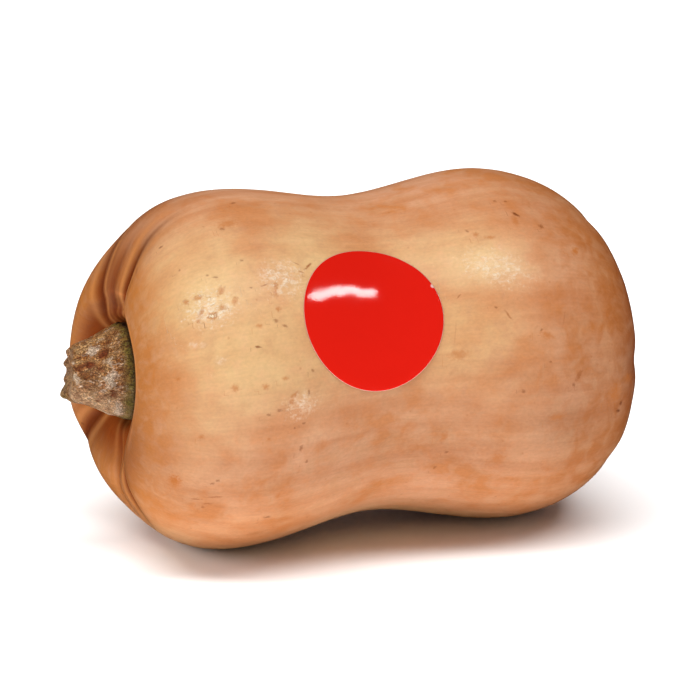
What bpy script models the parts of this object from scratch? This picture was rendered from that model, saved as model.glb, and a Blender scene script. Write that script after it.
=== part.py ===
"""A butternut squash lying on its side, with its woody stem and a round paper label.

The squash lies along X with its stem at -X. The floor is at Z = 0 and the origin is under the middle of
the whole. Angles round the axis start at the front, -Y, and rise towards +Z. All sizes are in metres.
"""

import bmesh
import bpy
import numpy as np

# The fruit's half outline: distance along the axis from its middle, and radius.
FRUIT_PROFILE = (
    (-0.0762, 0.0),  # floor of the stem pit
    (-0.0763, 0.0085),
    (-0.0767, 0.0158),  # edge of the pit's floor
    (-0.0800, 0.0180),
    (-0.0850, 0.0222),
    (-0.0886, 0.0280),  # crest of the shoulder
    (-0.0858, 0.0385),
    (-0.0720, 0.0515),
    (-0.0500, 0.0575),  # neck at its widest
    (-0.0280, 0.0551),
    (-0.0060, 0.0516),  # waist
    (0.0180, 0.0550),
    (0.0420, 0.0580),  # bulb at its widest
    (0.0620, 0.0520),
    (0.0745, 0.0398),
    (0.0800, 0.0235),
    (0.0812, 0.0095),
    (0.0806, 0.0),  # blossom end, slightly dimpled
)
PIT_FLOOR_KNOT = 2  # the profile's point on the edge of the pit's floor
CREST_KNOT = 5  # the profile's point on the shoulder's crest
PROFILE_SAMPLES = 1200  # points at which the profile's length is measured
HALF_LENGTH = 0.085  # reach of the arch either way from the fruit's middle
SECTION_HEIGHT = 0.975  # height of a section over its width
ARCH = 0.0036  # rise of the centre line between its ends
PIT_RISE = 0.0036  # rise of the stem pit over the centre line
PIT_RISE_FROM = 0.0060  # how far past the crest that rise begins
PIT_RISE_LENGTH = 0.0200  # length of skin over which it grows
SETTLE = 0.0010  # depth of the two flat spots that the fruit lies on
UNDERSIDE = 0.05383  # from the axis down to the neck's and the bulb's lowest points
CENTRE_X = 0.00945  # from the middle of the whole, stem included, to the fruit's middle

# Furrows run out of the stem pit over the shoulder. Each row holds the angle in the pit, at the crest and
# at the far end in degrees, the depth, the half width in degrees, and the reach past the crest.
FURROWS = (
    (90.0, 82.0, 84.0, 0.0034, 5.0, 0.048),
    (118.0, 99.0, 95.0, 0.0020, 4.5, 0.042),
    (141.0, 116.0, 119.0, 0.0026, 7.0, 0.030),
    (224.0, 223.0, 223.0, 0.0030, 7.0, 0.020),
    (255.0, 272.0, 280.0, 0.0014, 5.0, 0.030),
    (290.0, 310.0, 276.0, 0.0030, 6.0, 0.034),
)
# Broad swells of the shoulder: angle, half width in degrees, height over the mean, and reach past the crest.
SWELLS = (
    (330.0, 24.0, -0.0014, 0.034),
    (2.0, 24.0, -0.0032, 0.034),
    (32.0, 24.0, -0.0041, 0.034),
    (62.0, 24.0, -0.0040, 0.034),
    (96.0, 28.0, -0.0056, 0.045),
    (132.0, 26.0, -0.0006, 0.045),
    (204.0, 26.0, 0.0013, 0.030),
    (240.0, 26.0, -0.0015, 0.045),
    (276.0, 26.0, -0.0053, 0.050),
)
RELIEF_TURNS = 0.050  # length past the crest over which relief turns from axial to radial
FURROW_SETTLES = 0.016  # length of the pit wall in which the furrows rise from its floor
CREASE_SHARE = 0.6  # share of a furrow's depth in its sharp crease, the rest in a broad trough
CREASE_ROUNDING = 0.14  # in half widths, as the next
TROUGH_WIDTH = 2.2
FULL_TURN = 360.0

# The stem's half outline, from the middle of its cut end to the middle of its foot.
STEM_PROFILE = (
    (-0.0966, 0.0),  # cut end, a little hollow
    (-0.0967, 0.0035),
    (-0.0970, 0.0066),  # edge of the cut
    (-0.0962, 0.0079),
    (-0.0918, 0.0096),
    (-0.0858, 0.0124),
    (-0.0808, 0.0143),
    (-0.0783, 0.0148),  # flared foot
    (-0.0768, 0.0132),
    (-0.0766, 0.0090),
    (-0.0766, 0.0),
)
CUT_EDGE_KNOT = 2  # the profile's point on the edge of the cut
# The stem's ribs: angle at the foot in degrees, and height.
STEM_RIBS = (
    (14.0, 0.0011),
    (66.0, 0.0014),
    (122.0, 0.0010),
    (182.0, 0.0013),
    (248.0, 0.0010),
    (314.0, 0.0015),
)
STEM_RIB_HALF_WIDTH = 17.0
STEM_TWIST = 10.0  # degrees that the ribs turn from foot to cut
STEM_LEAN = 0.0016  # rise of the cut end over the foot
CUT_SLOPE = 0.12  # how far the cut leans out at its lower side, for each metre across
CUT_TURN = 0.16  # how far the cut leans out at its front, for each metre across
TORN_LIP = (262.0, 20.0, 0.0024)  # angle, half width in degrees and length of the torn lip under the cut

LABEL_RADIUS = 0.0231
LABEL_PAST_CREST = 0.0888  # length over the skin from the shoulder's crest to the label's middle
LABEL_ANGLE = 28.0
LABEL_GAP = 0.0003
LABEL_THICKNESS = 0.0003

FRUIT_SEGMENTS = 64
STEM_SEGMENTS = 40
LABEL_SEGMENTS = 40
RINGS_A_SPAN = 3
LABEL_RINGS = 16

TAN = (0.66, 0.37, 0.17)
BARK_BROWN = (0.26, 0.16, 0.09)
LABEL_RED = (0.74, 0.02, 0.02)


def smooth(share):
    """Eases from 0 to 1 as share goes from 0 to 1."""
    share = np.clip(share, 0.0, 1.0)
    return share * share * (3.0 - 2.0 * share)


def spline(points, knots):
    """The natural cubic through the points, read at these knot numbers."""
    points = np.array(points)
    last = len(points) - 1
    gap = np.linalg.norm(np.diff(points, axis=0), axis=1)
    system = np.eye(last + 1)
    target = np.zeros_like(points)
    slope = np.diff(points, axis=0) / gap[:, None]
    for i in range(1, last):
        system[i, i - 1 : i + 2] = gap[i - 1], 2.0 * (gap[i - 1] + gap[i]), gap[i]
        target[i] = 6.0 * (slope[i] - slope[i - 1])
    bend = np.linalg.solve(system, target)
    span = np.clip(np.asarray(knots).astype(int), 0, last - 1)
    after = (knots - span)[..., None] * gap[span][..., None]
    width = gap[span][..., None]
    before = width - after
    curve = (bend[span] * before**3 + bend[span + 1] * after**3) / (6.0 * width)
    chord = points[span] * before / width + points[span + 1] * after / width
    sag = (bend[span] * before + bend[span + 1] * after) * width / 6.0
    return curve + chord - sag


def turn_between(angle, centre):
    """The signed angle from centre to angle, from -180 to 180 degrees."""
    return (angle - centre + FULL_TURN / 2.0) % FULL_TURN - FULL_TURN / 2.0


def measured_profile():
    """Knots along the fruit's profile, and its length past the crest at each, negative inside the pit."""
    knots = np.linspace(0.0, len(FRUIT_PROFILE) - 1.0, PROFILE_SAMPLES)
    steps = np.linalg.norm(np.diff(spline(FRUIT_PROFILE, knots), axis=0), axis=1)
    length = np.concatenate([[0.0], np.cumsum(steps)])
    return knots, length - np.interp(CREST_KNOT, knots, length)


def past_crest(knots):
    """Length along the fruit's profile from the crest, negative inside the pit."""
    fine, length = measured_profile()
    return np.interp(knots, fine, length)


def shoulder_relief(past, angle):
    """How far the skin stands over the plain turned form: the furrows and swells round the stem."""
    floor_edge = past_crest(PIT_FLOOR_KNOT)
    in_pit = smooth((past - floor_edge) / FURROW_SETTLES)
    relief = np.zeros_like(past)
    for in_pit_angle, crest_angle, far_angle, depth, half_width, reach in FURROWS:
        centre = np.interp(past, (floor_edge, 0.0, reach), (in_pit_angle, crest_angle, far_angle))
        off = np.abs(turn_between(angle, centre)) / half_width
        crease = np.exp(-np.hypot(off, CREASE_ROUNDING))
        trough = np.exp(-((off / TROUGH_WIDTH) ** 2))
        shape = CREASE_SHARE * crease + (1.0 - CREASE_SHARE) * trough
        relief -= depth * shape * smooth(1.0 - past / reach) * in_pit
    for centre, half_width, height, reach in SWELLS:
        off = turn_between(angle, centre) / half_width
        relief += height * np.exp(-(off**2)) * smooth(1.0 - past / reach) * in_pit
    return relief


def centre_height(axial, past):
    """Height of a section's middle over the axis: a slight arch, and the rise of the stem pit."""
    arch = ARCH * (1.0 - (axial / HALF_LENGTH) ** 2)
    return arch + PIT_RISE * smooth((PIT_RISE_FROM - past) / PIT_RISE_LENGTH)


def fruit_surface(knots, angle, lift=0.0):
    """Points of the fruit's skin, lift over it, for knots along the profile and angles in degrees."""
    step = 0.01
    last = len(FRUIT_PROFILE) - 1.0
    along = spline(FRUIT_PROFILE, knots)
    ahead = spline(FRUIT_PROFILE, np.minimum(knots + step, last))
    behind = spline(FRUIT_PROFILE, np.maximum(knots - step, 0.0))
    tangent = ahead - behind
    tangent /= np.linalg.norm(tangent, axis=-1, keepdims=True)
    past = past_crest(knots)
    relief = shoulder_relief(past, angle)
    lean = smooth(past / RELIEF_TURNS) * np.pi / 2.0
    axial = along[..., 0] - relief * np.cos(lean) - lift * tangent[..., 1]
    radius = along[..., 1] + relief * np.sin(lean) + lift * tangent[..., 0]
    turn = np.radians(angle)
    height = radius * SECTION_HEIGHT * np.sin(turn) + centre_height(along[..., 0], past)
    return np.stack([axial, -radius * np.cos(turn), height], axis=-1)


def stem_surface(knots, angle):
    """Points of the stem: uneven ribs that fade into the foot, and a sloping cut with a torn lip."""
    along = spline(STEM_PROFILE, knots)
    foot = STEM_PROFILE[-1][0]
    progress = (foot - along[..., 0]) / (foot - STEM_PROFILE[0][0])
    last = len(STEM_PROFILE) - 1.0
    radius = along[..., 1].copy()
    ribbed = smooth(knots / CUT_EDGE_KNOT) * smooth((last - knots) / CUT_EDGE_KNOT)
    for rib_angle, height in STEM_RIBS:
        off = turn_between(angle, rib_angle + STEM_TWIST * progress) / STEM_RIB_HALF_WIDTH
        radius += height * np.exp(-(off**2)) * ribbed
    lip_angle, lip_half_width, lip_length = TORN_LIP
    lip = np.exp(-((turn_between(angle, lip_angle) / lip_half_width) ** 2))
    lip *= smooth(1.0 - np.abs(knots - CUT_EDGE_KNOT) / CUT_EDGE_KNOT)
    turn = np.radians(angle)
    side = -radius * np.cos(turn)
    height = radius * np.sin(turn)
    axial = along[..., 0] + (CUT_SLOPE * height + CUT_TURN * side) * smooth(progress) - lip_length * lip
    centre = centre_height(foot, past_crest(0.0)) + STEM_LEAN * progress
    return np.stack([axial, side, height + centre], axis=-1)


def label_surface(share, angle):
    """Points of the label, from the middle of its face round its edge to the middle of its back."""
    out = LABEL_RADIUS * np.minimum(share, 1.0 - share) * 2.0
    turn = np.radians(angle)
    fine, length = measured_profile()
    knots = np.interp(LABEL_PAST_CREST + out * np.cos(turn), length, fine)
    radius = spline(FRUIT_PROFILE, knots)[..., 1]
    round_angle = LABEL_ANGLE + np.degrees(out * np.sin(turn) / radius)
    face = np.clip(0.5 + (0.5 - share) * LABEL_RINGS / 2.0, 0.0, 1.0)
    return fruit_surface(knots, round_angle, LABEL_GAP + LABEL_THICKNESS * face)


def on_the_floor(points):
    """Sets points of the fruit's frame on the floor, and presses flat what would sink into it."""
    stood = points + np.array([CENTRE_X, 0.0, UNDERSIDE - SETTLE])
    stood[..., 2] = np.maximum(stood[..., 2], 0.0)
    return stood


def clear_scene():
    """Empties the scene, so that only the squash is in it."""
    for left_over in list(bpy.data.objects):
        bpy.data.objects.remove(left_over)


def plain_material(name, colour, roughness):
    """A non-metallic Principled BSDF of this colour and roughness."""
    material = bpy.data.materials.new(name)
    material.use_nodes = True
    shader = material.node_tree.nodes["Principled BSDF"]
    shader.inputs["Base Color"].default_value = (*colour, 1.0)
    shader.inputs["Roughness"].default_value = roughness
    shader.inputs["Metallic"].default_value = 0.0
    return material


def shaped_ball(name, segments, rings, surface, material, collection):
    """An object made from a ball, whose vertices move to surface(share from pole to pole, angle)."""
    ball = bmesh.new()
    bmesh.ops.create_uvsphere(ball, u_segments=segments, v_segments=rings, radius=1.0)
    place = np.array([vertex.co for vertex in ball.verts])
    share = np.round(np.arccos(np.clip(place[:, 2], -1.0, 1.0)) / np.pi * rings) / rings
    angle = np.degrees(np.arctan2(place[:, 1], place[:, 0])) % FULL_TURN
    for vertex, point in zip(ball.verts, on_the_floor(surface(share, angle))):
        vertex.co = point
    bmesh.ops.triangulate(ball, faces=ball.faces)
    mesh = bpy.data.meshes.new(name)
    ball.to_mesh(mesh)
    ball.free()
    mesh.shade_smooth()
    mesh.materials.append(material)
    made = bpy.data.objects.new(name, mesh)
    collection.objects.link(made)


def main():
    clear_scene()
    squash = bpy.data.collections.new("butternut_squash")
    bpy.context.scene.collection.children.link(squash)
    fruit_spans = len(FRUIT_PROFILE) - 1
    stem_spans = len(STEM_PROFILE) - 1
    shaped_ball(
        "fruit",
        FRUIT_SEGMENTS,
        fruit_spans * RINGS_A_SPAN,
        lambda share, angle: fruit_surface(share * fruit_spans, angle),
        plain_material("squash_skin", TAN, 0.42),
        squash,
    )
    shaped_ball(
        "stem",
        STEM_SEGMENTS,
        stem_spans * RINGS_A_SPAN,
        lambda share, angle: stem_surface(share * stem_spans, angle),
        plain_material("stem_bark", BARK_BROWN, 0.85),
        squash,
    )
    shaped_ball(
        "label",
        LABEL_SEGMENTS,
        LABEL_RINGS,
        label_surface,
        plain_material("label_paper", LABEL_RED, 0.25),
        squash,
    )


main()
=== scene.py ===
"""A butternut squash lying on its side, with its woody stem and a round paper label.

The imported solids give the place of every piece. Each is dressed here by a finer surface of the same form,
worked out with the same formulas, and by a material for its skin, its bark or its paper.
"""

import bpy
import numpy as np
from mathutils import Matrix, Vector


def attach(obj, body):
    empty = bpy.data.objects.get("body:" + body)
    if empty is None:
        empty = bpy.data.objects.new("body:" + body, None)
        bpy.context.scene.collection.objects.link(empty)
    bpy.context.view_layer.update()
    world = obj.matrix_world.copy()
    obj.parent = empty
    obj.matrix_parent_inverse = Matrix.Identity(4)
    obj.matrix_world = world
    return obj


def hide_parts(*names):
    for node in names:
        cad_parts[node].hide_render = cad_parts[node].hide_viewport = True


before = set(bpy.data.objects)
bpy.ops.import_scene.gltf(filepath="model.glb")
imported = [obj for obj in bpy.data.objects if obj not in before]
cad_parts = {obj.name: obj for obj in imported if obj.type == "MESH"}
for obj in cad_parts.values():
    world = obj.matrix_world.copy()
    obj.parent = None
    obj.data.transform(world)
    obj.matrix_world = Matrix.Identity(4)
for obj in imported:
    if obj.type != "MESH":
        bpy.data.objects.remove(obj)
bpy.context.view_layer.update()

# Camera: a long lens 0.93 m away, 20 degrees round towards the stem and 15 degrees above the floor.
# It looks at a point close to the middle of the squash, a little towards the stem.
ROUND_TO_STEM = np.radians(20.0)
ABOVE_FLOOR = np.radians(15.0)
AIM = Vector((0.00445, 0.0, 0.05743))
DISTANCE = 0.930
SENSOR_WIDTH = 36.0
LENS = 149.94
away = Vector(
    (
        -np.sin(ROUND_TO_STEM) * np.cos(ABOVE_FLOOR),
        -np.cos(ROUND_TO_STEM) * np.cos(ABOVE_FLOOR),
        np.sin(ABOVE_FLOOR),
    )
)


def placed(name, data):
    """A new object with this mesh, camera or light, linked to the scene."""
    made = bpy.data.objects.new(name, data)
    bpy.context.scene.collection.objects.link(made)
    return made


camera = placed("camera", bpy.data.cameras.new("camera"))
camera.data.sensor_width = SENSOR_WIDTH
camera.data.lens = LENS
camera.location = AIM + away * DISTANCE
camera.rotation_mode = "QUATERNION"
camera.rotation_quaternion = (-away).to_track_quat("-Z", "Y")
bpy.context.scene.camera = camera

# Fruit: one grown body, a neck and a bulb with a waist between them. Lobes round the sunken stem are parted
# by furrows. The rind is hard, thin and waxy, tan over orange, with scars, warts and freckles from growing.
FRUIT_PROFILE = (
    (-0.0762, 0.0),  # distance along the axis and radius: the floor of the stem pit
    (-0.0763, 0.0085),
    (-0.0767, 0.0158),  # edge of the pit's floor
    (-0.0800, 0.0180),
    (-0.0850, 0.0222),
    (-0.0886, 0.0280),  # crest of the shoulder
    (-0.0858, 0.0385),
    (-0.0720, 0.0515),
    (-0.0500, 0.0575),  # neck at its widest
    (-0.0280, 0.0551),
    (-0.0060, 0.0516),  # waist
    (0.0180, 0.0550),
    (0.0420, 0.0580),  # bulb at its widest
    (0.0620, 0.0520),
    (0.0745, 0.0398),
    (0.0800, 0.0235),
    (0.0812, 0.0095),
    (0.0806, 0.0),  # blossom end, slightly dimpled
)
PIT_FLOOR_KNOT = 2
CREST_KNOT = 5
PROFILE_SAMPLES = 1200
HALF_LENGTH = 0.085
SECTION_HEIGHT = 0.975
ARCH = 0.0036
PIT_RISE = 0.0036
PIT_RISE_FROM = 0.0060
PIT_RISE_LENGTH = 0.0200
SETTLE = 0.0010
UNDERSIDE = 0.05383
CENTRE_X = 0.00945
# Angle in the pit, at the crest and at the far end in degrees, depth, half width in degrees, reach.
FURROWS = (
    (90.0, 82.0, 84.0, 0.0034, 5.0, 0.048),
    (118.0, 99.0, 95.0, 0.0012, 5.0, 0.042),
    (141.0, 116.0, 119.0, 0.0028, 6.0, 0.044),
    (224.0, 223.0, 223.0, 0.0030, 7.0, 0.020),
    (255.0, 272.0, 280.0, 0.0014, 5.0, 0.030),
    (290.0, 310.0, 276.0, 0.0030, 6.0, 0.034),
)
# Angle, half width in degrees, height and reach of the shoulder's broad swells and hollows.
SWELLS = (
    (330.0, 24.0, -0.0014, 0.034),
    (2.0, 24.0, -0.0032, 0.034),
    (32.0, 24.0, -0.0041, 0.034),
    (62.0, 24.0, -0.0040, 0.034),
    (96.0, 28.0, -0.0056, 0.045),
    (132.0, 26.0, -0.0006, 0.045),
    (204.0, 26.0, 0.0013, 0.030),
    (240.0, 26.0, -0.0015, 0.045),
    (276.0, 26.0, -0.0053, 0.050),
)
RELIEF_TURNS = 0.050
FURROW_SETTLES = 0.016
CREASE_SHARE = 0.6
CREASE_ROUNDING = 0.14
TROUGH_WIDTH = 2.2
LINE_FADE = 1.6  # how soon a furrow's line of colour fades towards its reach
FURROW_READS_ONE = 0.003  # depth at which the furrow's colour is full
FRUIT_SEGMENTS = 400
FRUIT_RINGS = 248
KNOT_SHARE = 0.004  # m of extra measure for each knot, which puts more rings where the skin bends sharply
GRAIN_RADIUS = 50.0  # mm, the radius at which the grain's three coordinates are true to size
# Broad washes of colour. Each row holds the place past the crest in mm, the angle in degrees, the half
# length in mm, the half width in degrees and the strength. The skin is cream where the wax is thick, and has
# a pink blush. The cream washes also lie where the band of light and the bounce from the table fall, so they
# are partly painted light.
CREAM_AND_PAINTED_LIGHT_WASHES = (
    (36.0, 46.0, 26.0, 24.0, 1.00),
    (50.0, 20.0, 30.0, 24.0, 0.95),
    (34.0, 2.0, 18.0, 18.0, 0.60),
    (74.0, 42.0, 26.0, 30.0, 0.85),
    (104.0, 46.0, 22.0, 18.0, 0.70),
    (126.0, 44.0, 24.0, 15.0, 0.95),
    (114.0, 21.0, 26.0, 20.0, 0.70),
    (90.0, 205.0, 60.0, 50.0, 0.70),
    (84.0, 288.0, 90.0, 16.0, 0.90),
)
BLUSH_WASHES = (
    (60.0, 96.0, 60.0, 22.0, 0.8),
    (120.0, 92.0, 40.0, 26.0, 0.9),
    (150.0, 40.0, 16.0, 60.0, 0.7),
    (70.0, 345.0, 50.0, 20.0, 0.5),
    (110.0, 320.0, 40.0, 24.0, 0.7),
    (80.0, 270.0, 60.0, 40.0, 0.5),
)
# Darker places: stains of the skin's own colour, and painted shade, such as the dark gap in the pit under the
# stem and the low lobe beside it.
STAIN_AND_SHADE_WASHES = (
    (100.0, 338.0, 95.0, 17.0, 0.9),
    (150.0, 350.0, 26.0, 26.0, 0.75),
    (176.0, 10.0, 14.0, 60.0, 0.3),
    (26.0, 80.0, 14.0, 8.0, 0.7),
    (-3.0, 236.0, 8.0, 12.0, 1.2),
    (-14.0, 262.0, 4.0, 11.0, 3.0),
    (148.0, 345.0, 22.0, 14.0, 1.3),
    (32.0, 330.0, 18.0, 13.0, 0.7),
    (66.0, 8.0, 16.0, 16.0, 0.35),
)
# Painted light: brighter places where the bounce from the table falls on the lower side and a sheen on the
# top edge and near the blossom end, and a thin painted reflection along the near shoulder's rim.
PAINTED_LIGHT_WASHES = (
    (90.0, 284.0, 105.0, 22.0, 1.2),
    (96.0, 308.0, 104.0, 16.0, 1.0),
    (1.0, 272.0, 8.0, 11.0, 1.8),
    (2.4, 88.0, 0.9, 12.0, 2.2),
    (2.3, 50.0, 0.9, 30.0, 2.0),
    (2.0, 20.0, 0.9, 16.0, 1.8),
    (0.5, 0.0, 0.9, 12.0, 1.6),
    (1.5, 345.0, 0.9, 10.0, 1.6),
    (100.0, 88.0, 80.0, 16.0, 0.6),
    (186.0, 15.0, 8.0, 60.0, 0.7),
)
# Brown stains above and below the stem, and round the blossom's scar.
BROWN_WASHES = (
    (6.0, 106.0, 20.0, 13.0, 1.0),
    (28.0, 112.0, 22.0, 14.0, 0.7),
    (4.0, 330.0, 7.0, 30.0, 0.5),
    (184.0, 4.0, 9.0, 26.0, 0.7),
    (186.0, 40.0, 9.0, 40.0, 0.6),
)
# Marks of growing: past the crest in mm, angle, half length and half width in mm, turn in degrees, strength.
# Flecks are small and dark, scars thin, spots soft and orange, warts raised, and scuffs pale and scratched
# with painted glints of the lamps on them.
FLECKS = (
    (48.8, 65.8, 0.61, 0.6, -22.0, 0.55),
    (29.7, 70.3, 0.66, 0.45, -17.0, 0.7),
    (39.7, 48.8, 0.45, 0.35, -21.0, 0.55),
    (41.8, 47.3, 0.75, 0.35, -19.0, 0.55),
    (50.8, 51.1, 0.45, 0.38, -14.0, 0.55),
    (50.1, 22.2, 0.75, 0.3, -14.0, 0.8),
    (66.5, 12.8, 0.5, 0.45, -8.0, 0.55),
    (64.7, 6.3, 0.33, 0.76, -9.0, 0.55),
    (55.2, 2.2, 0.78, 0.46, -8.0, 0.55),
    (51.8, 1.2, 0.62, 0.31, -8.0, 0.55),
    (64.7, 343.2, 0.44, 0.45, -14.0, 0.55),
    (62.5, 348.5, 0.51, 1.02, -12.0, 0.55),
    (2.1, 218.4, 0.9, 0.48, -32.0, 0.9),
    (59.9, 355.7, 0.33, 0.32, -10.0, 0.55),
    (62.9, 356.8, 0.5, 0.32, -10.0, 0.55),
    (143.4, 59.4, 1.09, 0.55, -43.0, 1.0),
    (150.2, 54.2, 0.74, 0.85, 5.0, 0.7),
    (126.0, 55.2, 0.66, 0.39, -54.0, 0.55),
    (141.7, 18.7, 0.5, 0.31, 25.0, 0.55),
    (128.2, 26.8, 0.46, 0.33, -38.0, 0.55),
    (134.8, 359.5, 0.58, 0.47, -51.0, 0.55),
    (151.7, 0.7, 0.56, 0.49, -5.0, 0.55),
    (171.6, 347.6, 0.94, 0.52, -19.0, 1.0),
    (172.6, 350.4, 0.7, 0.68, -18.0, 1.0),
    (110.2, 329.5, 0.47, 0.7, 2.0, 0.55),
    (112.7, 336.8, 0.47, 0.41, 2.0, 0.55),
    (143.7, 8.6, 0.5, 0.32, -3.0, 0.55),
    (56.6, 29.4, 0.77, 0.47, -18.0, 0.55),
    (59.3, 27.4, 0.77, 0.32, -32.0, 0.55),
    (55.2, 321.4, 0.98, 0.52, -7.0, 0.55),
    (37.4, 339.2, 0.6, 0.48, 4.0, 0.55),
    (36.0, 337.8, 0.6, 0.39, 5.0, 0.55),
    (56.4, 79.5, 0.91, 0.5, 18.0, 0.55),
    (139.0, 66.8, 0.48, 0.45, -11.0, 0.55),
    (142.4, 66.1, 0.49, 0.45, -5.0, 0.55),
    (51.3, 41.0, 0.45, 0.27, -11.0, 0.55),
    (32.3, 54.8, 0.34, 0.35, -32.0, 0.55),
)
SCARS = (
    (71.0, 46.7, 1.82, 0.4, 40.0, 0.9),
    (31.9, 330.0, 1.54, 0.29, 11.0, 0.6),
    (37.7, 332.1, 2.55, 0.3, 9.0, 0.6),
    (35.6, 328.7, 1.37, 0.32, 17.0, 0.6),
    (34.4, 326.7, 0.61, 0.48, 14.0, 0.6),
    (131.7, 24.0, 1.53, 0.32, -60.0, 0.6),
    (117.6, 31.9, 0.82, 0.23, 42.0, 0.6),
    (149.8, 22.1, 2.46, 0.22, 72.0, 0.25),
    (114.8, 20.3, 3.76, 0.22, 79.0, 0.2),
    (55.5, 41.2, 1.11, 0.26, 13.0, 0.6),
    (17.1, 73.8, 1.94, 1.0, 44.0, 0.5),
    (153.6, 3.6, 1.94, 0.67, 56.0, 0.7),
    (68.2, 44.7, 0.77, 0.25, -26.0, 0.6),
    (67.3, 47.8, 1.23, 0.2, -27.0, 0.6),
)
SPOTS = (
    (24.2, 336.2, 1.96, 1.89, 21.0, 1.0),
    (42.2, 10.8, 1.18, 0.9, -7.0, 0.6),
    (24.8, 16.2, 0.91, 0.61, -8.0, 0.6),
    (51.5, 28.5, 0.9, 0.62, -9.0, 0.6),
    (142.2, 56.8, 0.98, 1.79, -5.0, 0.6),
    (131.9, 51.2, 1.4, 0.6, -11.0, 0.6),
    (159.8, 45.4, 0.94, 1.62, -39.0, 0.9),
    (143.2, 16.9, 1.94, 0.96, -22.0, 0.6),
    (115.1, 12.5, 2.47, 1.4, -4.0, 0.5),
    (111.2, 343.4, 1.0, 1.58, -22.0, 0.6),
    (146.5, 350.4, 2.37, 1.08, 5.0, 0.6),
    (168.9, 355.3, 2.83, 3.25, -21.0, 0.8),
    (176.4, 359.3, 2.78, 1.47, -12.0, 0.7),
    (129.4, 335.3, 1.57, 1.68, 4.0, 0.6),
    (56.9, 331.4, 0.68, 0.86, -13.0, 0.6),
    (53.3, 311.2, 2.15, 1.34, 9.0, 0.6),
    (57.5, 11.7, 0.95, 0.6, -8.0, 0.6),
    (51.2, 10.0, 0.91, 0.76, -8.0, 0.6),
    (51.1, 67.8, 2.84, 1.74, 6.0, 0.6),
    (31.7, 355.3, 0.76, 0.65, 2.0, 0.6),
    (51.9, 353.2, 0.62, 0.49, -8.0, 0.6),
    (58.4, 38.1, 0.78, 1.34, -7.0, 0.6),
)
WARTS = (
    (42.2, 42.0, 0.94, 1.58, -43.0, 0.6),
    (45.7, 37.8, 0.75, 1.29, -24.0, 0.6),
    (41.7, 36.5, 1.02, 0.97, 7.0, 0.6),
    (35.2, 36.5, 0.78, 1.67, -33.0, 0.6),
    (38.3, 34.6, 1.32, 1.11, -5.0, 1.0),
    (35.3, 42.0, 1.35, 0.83, -15.0, 0.6),
    (31.6, 42.1, 0.96, 0.8, -24.0, 0.6),
    (58.9, 40.5, 0.62, 1.03, -7.0, 0.6),
    (58.1, 32.9, 0.78, 0.8, -7.0, 0.6),
    (128.2, 53.1, 0.77, 1.02, -13.0, 0.6),
    (60.0, 6.2, 1.36, 0.65, 27.0, 0.6),
    (58.9, 4.3, 0.92, 0.64, 11.0, 0.6),
    (34.0, 34.2, 0.61, 0.62, -17.0, 0.6),
)
SCUFFS = (
    (38.2, 37.5, 7.8, 6.5, -18.0, 1.0),
    (61.5, 43.0, 7.5, 6.5, -17.0, 0.75),
    (62.0, 2.8, 6.02, 4.27, 10.0, 0.55),
    (39.0, 20.0, 2.32, 1.53, 11.0, 0.4),
    (131.0, 40.0, 10.5, 6.5, -24.0, 0.6),
    (32.1, 26.5, 3.06, 1.21, -14.0, 0.4),
)
MARK_REACH = 1.7  # half sizes from a mark's middle that its wobbling edge can reach
MARK_MARGIN = 1.8  # mm beyond a mark that still reads its coordinates, wider than any face of the grid
OFF_MARK = 9.0  # what a mark's coordinates read away from it
# The blossom end is a little fuller than the turned form, and has faint grooves.
END_SWELL = (0.0019, 0.152, 0.030)  # height, where it starts past the crest, and length
LESS_SWELL = ((306.0, 20.0, 0.5), (88.0, 26.0, 0.4))  # where it is less: angle, half width, share
END_GROOVES = (4.0, 72.0, 128.0, 205.0, 262.0, 318.0)  # angles
END_GROOVE_DEPTH = 0.0007
END_GROOVE_HALF_WIDTH = 6.0
END_GROOVE_START = (0.166, 0.016)  # where they set in past the crest, and over what length
END_GROOVE_END = (0.203, 0.012)  # where they have run out, and over what length
WAVE_HEIGHT = 0.00013
DIMPLE_HEIGHT = 0.000025


def smooth(share):
    """Eases from 0 to 1: 3 s^2 - 2 s^3, with s held between 0 and 1."""
    share = np.clip(share, 0.0, 1.0)
    return share * share * (3.0 - 2.0 * share)


def spline(points, knots):
    """The natural cubic through the points, each span as wide as its chord, read at these knot numbers."""
    points = np.array(points)
    last = len(points) - 1
    gap = np.linalg.norm(np.diff(points, axis=0), axis=1)
    system = np.eye(last + 1)
    target = np.zeros_like(points)
    slope = np.diff(points, axis=0) / gap[:, None]
    for i in range(1, last):
        system[i, i - 1 : i + 2] = gap[i - 1], 2.0 * (gap[i - 1] + gap[i]), gap[i]
        target[i] = 6.0 * (slope[i] - slope[i - 1])
    bend = np.linalg.solve(system, target)
    span = np.clip(np.asarray(knots).astype(int), 0, last - 1)
    after = (knots - span)[..., None] * gap[span][..., None]
    width = gap[span][..., None]
    before = width - after
    curve = (bend[span] * before**3 + bend[span + 1] * after**3) / (6.0 * width)
    chord = points[span] * before / width + points[span + 1] * after / width
    sag = (bend[span] * before + bend[span + 1] * after) * width / 6.0
    return curve + chord - sag


def turn_between(angle, centre):
    """The signed turn from centre to angle: their difference, brought between -180 and 180 degrees."""
    return (angle - centre + 180.0) % 360.0 - 180.0


FINE_KNOTS = np.linspace(0.0, len(FRUIT_PROFILE) - 1.0, PROFILE_SAMPLES)
fine_steps = np.linalg.norm(np.diff(spline(FRUIT_PROFILE, FINE_KNOTS), axis=0), axis=1)
FINE_LENGTH = np.concatenate([[0.0], np.cumsum(fine_steps)])
FINE_LENGTH -= np.interp(CREST_KNOT, FINE_KNOTS, FINE_LENGTH)


def past_crest(knots):
    """Length over the skin from the shoulder's crest, read from the profile's summed chords."""
    return np.interp(knots, FINE_KNOTS, FINE_LENGTH)


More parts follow.
